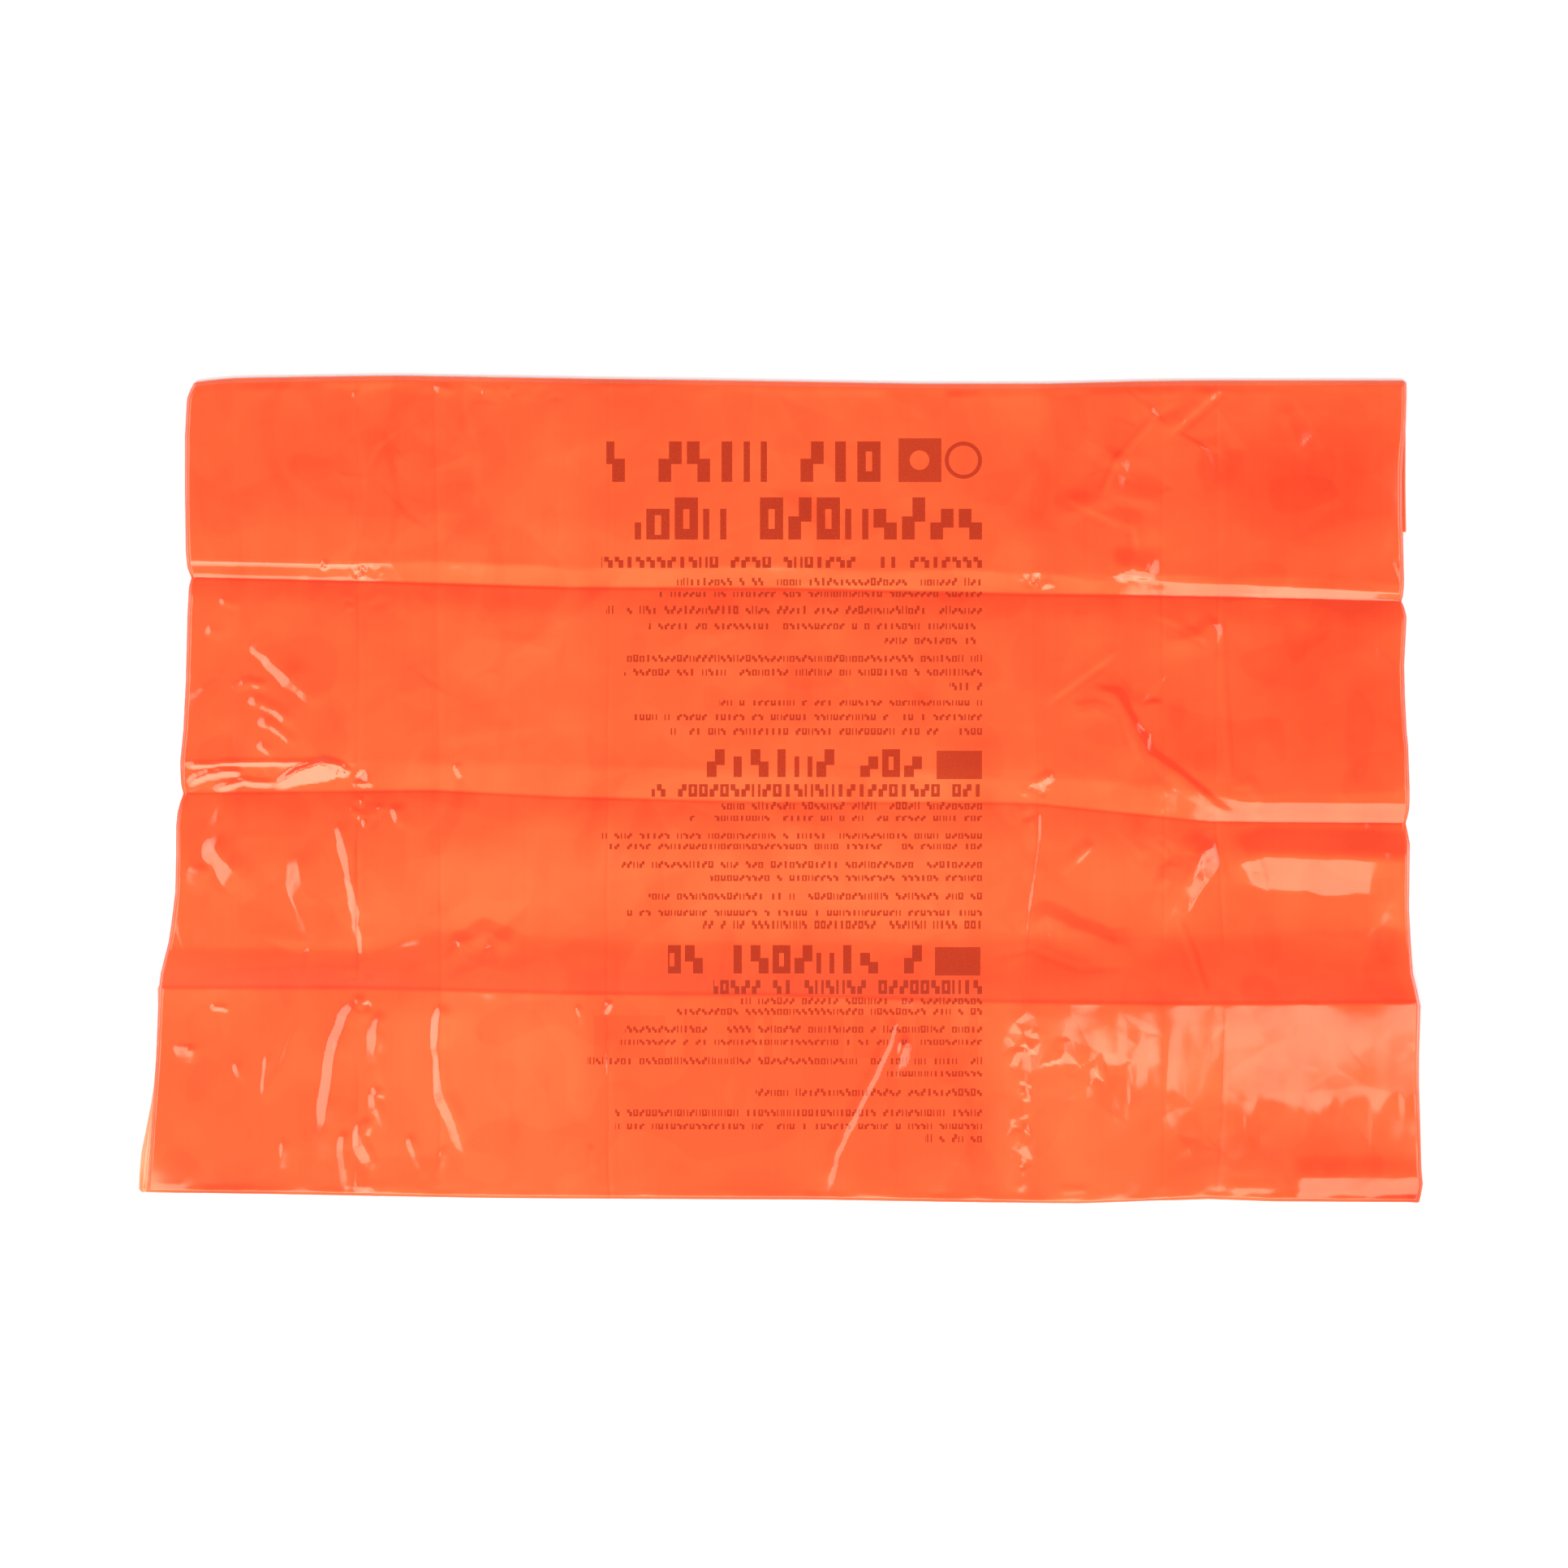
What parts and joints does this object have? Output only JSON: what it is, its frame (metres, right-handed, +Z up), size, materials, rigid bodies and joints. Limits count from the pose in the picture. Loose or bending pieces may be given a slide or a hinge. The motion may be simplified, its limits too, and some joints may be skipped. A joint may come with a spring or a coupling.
{
  "type": "bivy sack",
  "caption": "Emergency bivy sack of orange polythene film: a lay-flat tube open at the mouth and welded at the foot, part unfolded, the rest a concertina beneath.",
  "frame": {"origin": "centre of the bounding box in plan, on the surface that the bag lies on", "axes": "+X across the tube, +Y towards the mouth end, +Z up"},
  "size_m": [0.9164, 0.5846, 0.0172],
  "materials": {
    "orange_film": "glossy, faintly see-through orange polythene film with fold creases",
    "welded_film": "the same film, two layers welded together, a little darker"
  },
  "bodies": {
    "leaf_01": {"leaf_01_side_folds": "orange_film", "leaf_01_under_wall": "orange_film", "leaf_01_upper_wall": "orange_film"},
    "leaf_02": {"leaf_02_side_folds": "orange_film", "leaf_02_under_wall": "orange_film", "leaf_02_upper_wall": "orange_film"},
    "leaf_03": {"leaf_03_side_folds": "orange_film", "leaf_03_under_wall": "orange_film", "leaf_03_upper_wall": "orange_film"},
    "leaf_04": {"leaf_04_side_folds": "orange_film", "leaf_04_under_wall": "orange_film", "leaf_04_upper_wall": "orange_film"},
    "leaf_05": {"leaf_05_side_folds": "orange_film", "leaf_05_under_wall": "orange_film", "leaf_05_upper_wall": "orange_film"},
    "leaf_06": {"leaf_06_side_folds": "orange_film", "leaf_06_under_wall": "orange_film", "leaf_06_upper_wall": "orange_film"},
    "leaf_07": {"leaf_07_side_folds": "orange_film", "leaf_07_under_wall": "orange_film", "leaf_07_upper_wall": "orange_film"},
    "leaf_08": {"leaf_08_side_folds": "orange_film", "leaf_08_under_wall": "orange_film", "leaf_08_upper_wall": "orange_film"},
    "leaf_09": {"leaf_09_side_folds": "orange_film", "leaf_09_under_wall": "orange_film", "leaf_09_upper_wall": "orange_film"},
    "leaf_10": {"leaf_10_side_folds": "orange_film", "leaf_10_under_wall": "orange_film", "leaf_10_upper_wall": "orange_film"},
    "leaf_11": {"leaf_11_side_folds": "orange_film", "leaf_11_under_wall": "orange_film", "leaf_11_upper_wall": "orange_film", "foot_weld": "welded_film", "foot_skirt": "welded_film"},
    "mouth_tail": {"mouth_tail_side_folds": "orange_film", "mouth_tail_under_wall": "orange_film", "mouth_tail_upper_wall": "orange_film"},
    "mouth_lip": {"mouth_lip": "orange_film"}
  },
  "joints": [
    {"name": "front_fold", "type": "hinge", "parent": "leaf_04", "child": "leaf_03", "pos_m": [0.00602, -0.1461, 0.0175], "axis": [-0.9999, 0.0115, 0], "range_deg": [-178, 0]},
    {"name": "crease_2_fold", "type": "hinge", "parent": "leaf_03", "child": "leaf_02", "pos_m": [0.01038, -0.01095, -0.0001], "axis": [-0.9997, 0.0239, 0], "range_deg": [0, 178]},
    {"name": "crease_1_fold", "type": "hinge", "parent": "leaf_02", "child": "leaf_01", "pos_m": [0.01128, 0.1442, 0.008], "axis": [-0.9998, 0.0194, 0], "range_deg": [-178, 0]},
    {"name": "tail_unfold", "type": "hinge", "parent": "leaf_01", "child": "mouth_tail", "pos_m": [0.01128, 0.29205, 0.00158], "axis": [1, -0.002, 0], "range_deg": [0, 179]},
    {"name": "lip_gape", "type": "hinge", "parent": "mouth_tail", "child": "mouth_lip", "pos_m": [0.01131, 0.25706, 0], "axis": [1, -0.002, 0], "range_deg": [0, 30]},
    {"name": "rear_unfold", "type": "hinge", "parent": "leaf_04", "child": "leaf_05", "pos_m": [-0.00003, -0.2897, 0.01005], "axis": [-1, 0.007, 0], "range_deg": [0, 179]},
    {"name": "rear_unfold_2", "type": "hinge", "parent": "leaf_05", "child": "leaf_06", "pos_m": [0.00602, -0.1463, 0.0086], "axis": [-0.9999, 0.0115, 0], "range_deg": [-179, 0]},
    {"name": "rear_unfold_3", "type": "hinge", "parent": "leaf_06", "child": "leaf_07", "pos_m": [-0.00003, -0.2897, 0.00715], "axis": [-1, 0.007, 0], "range_deg": [0, 179]},
    {"name": "rear_unfold_4", "type": "hinge", "parent": "leaf_07", "child": "leaf_08", "pos_m": [0.00602, -0.1463, 0.0057], "axis": [-0.9999, 0.0115, 0], "range_deg": [-179, 0]},
    {"name": "rear_unfold_5", "type": "hinge", "parent": "leaf_08", "child": "leaf_09", "pos_m": [-0.00003, -0.2897, 0.00425], "axis": [-1, 0.007, 0], "range_deg": [0, 179]},
    {"name": "rear_unfold_6", "type": "hinge", "parent": "leaf_09", "child": "leaf_10", "pos_m": [0.00602, -0.1463, 0.0028], "axis": [-0.9999, 0.0115, 0], "range_deg": [-179, 0]},
    {"name": "rear_unfold_7", "type": "hinge", "parent": "leaf_10", "child": "leaf_11", "pos_m": [-0.00003, -0.2897, 0.00135], "axis": [-1, 0.007, 0], "range_deg": [0, 179]}
  ],
  "couplings": [
    {"joint": "crease_2_fold", "follows": "front_fold", "ratio": -1},
    {"joint": "crease_1_fold", "follows": "front_fold", "ratio": 1},
    {"joint": "lip_gape", "follows": "tail_unfold", "ratio": 0.1675},
    {"joint": "rear_unfold_2", "follows": "rear_unfold", "ratio": -1},
    {"joint": "rear_unfold_3", "follows": "rear_unfold", "ratio": 1},
    {"joint": "rear_unfold_4", "follows": "rear_unfold", "ratio": -1},
    {"joint": "rear_unfold_5", "follows": "rear_unfold", "ratio": 1},
    {"joint": "rear_unfold_6", "follows": "rear_unfold", "ratio": -1},
    {"joint": "rear_unfold_7", "follows": "rear_unfold", "ratio": 1}
  ]
}
